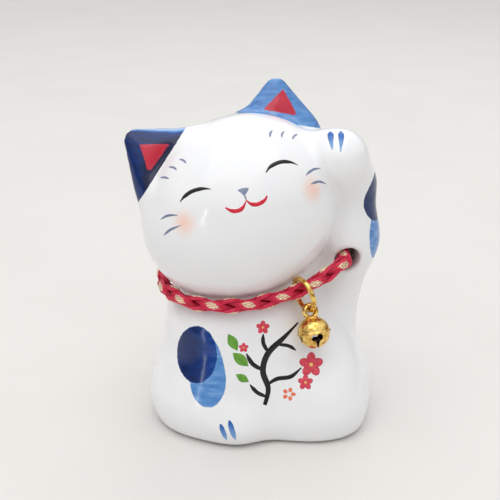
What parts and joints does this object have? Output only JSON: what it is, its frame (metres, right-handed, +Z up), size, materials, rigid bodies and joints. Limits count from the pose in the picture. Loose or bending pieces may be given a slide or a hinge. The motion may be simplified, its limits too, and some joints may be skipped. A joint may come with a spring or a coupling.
{
  "type": "ceramic cat figurine",
  "caption": "Seated beckoning cat figurine in glazed ceramic, arm raised, with a braided collar cord through the arm hole, a split jump ring and a jingle bell.",
  "frame": {"origin": "middle of the footprint, on the ground", "axes": "+X towards the raised arm, +Y towards the cat's back, +Z up"},
  "size_m": [0.0643, 0.0548, 0.0871],
  "materials": {
    "glaze": "clear gloss glaze over white body, brush-painted",
    "braid": "braided crimson cord with gold thread",
    "gilt_brass": "polished gold plating",
    "pellet_steel": "plain steel"
  },
  "bodies": {
    "figure": {"ceramic_figure": "glaze", "collar_cord": "braid", "collar_knot": "braid"},
    "ring": {"jump_ring": "gilt_brass"},
    "bell": {"bell_upper_shell": "gilt_brass", "bell_lower_shell": "gilt_brass", "bell_hanger_loop": "gilt_brass"},
    "pellet": {"bell_pellet": "pellet_steel"}
  },
  "joints": [
    {"name": "ring_on_cord", "type": "hinge", "parent": "figure", "child": "ring", "pos_m": [0.0099, -0.01715, 0.03985], "axis": [-0.8938, -0.3097, -0.3244], "range_deg": [0, 15]},
    {"name": "bell_on_ring", "type": "hinge", "parent": "ring", "child": "bell", "pos_m": [0.01234, -0.01891, 0.03521], "axis": [0.4291, -0.8305, 0.3552], "range_deg": [-15, 15]},
    {"name": "pellet_in_bell", "type": "slide", "parent": "bell", "child": "pellet", "axis": [-0.195, 0.2988, 0.9342], "range_m": [0, 0.004]}
  ]
}
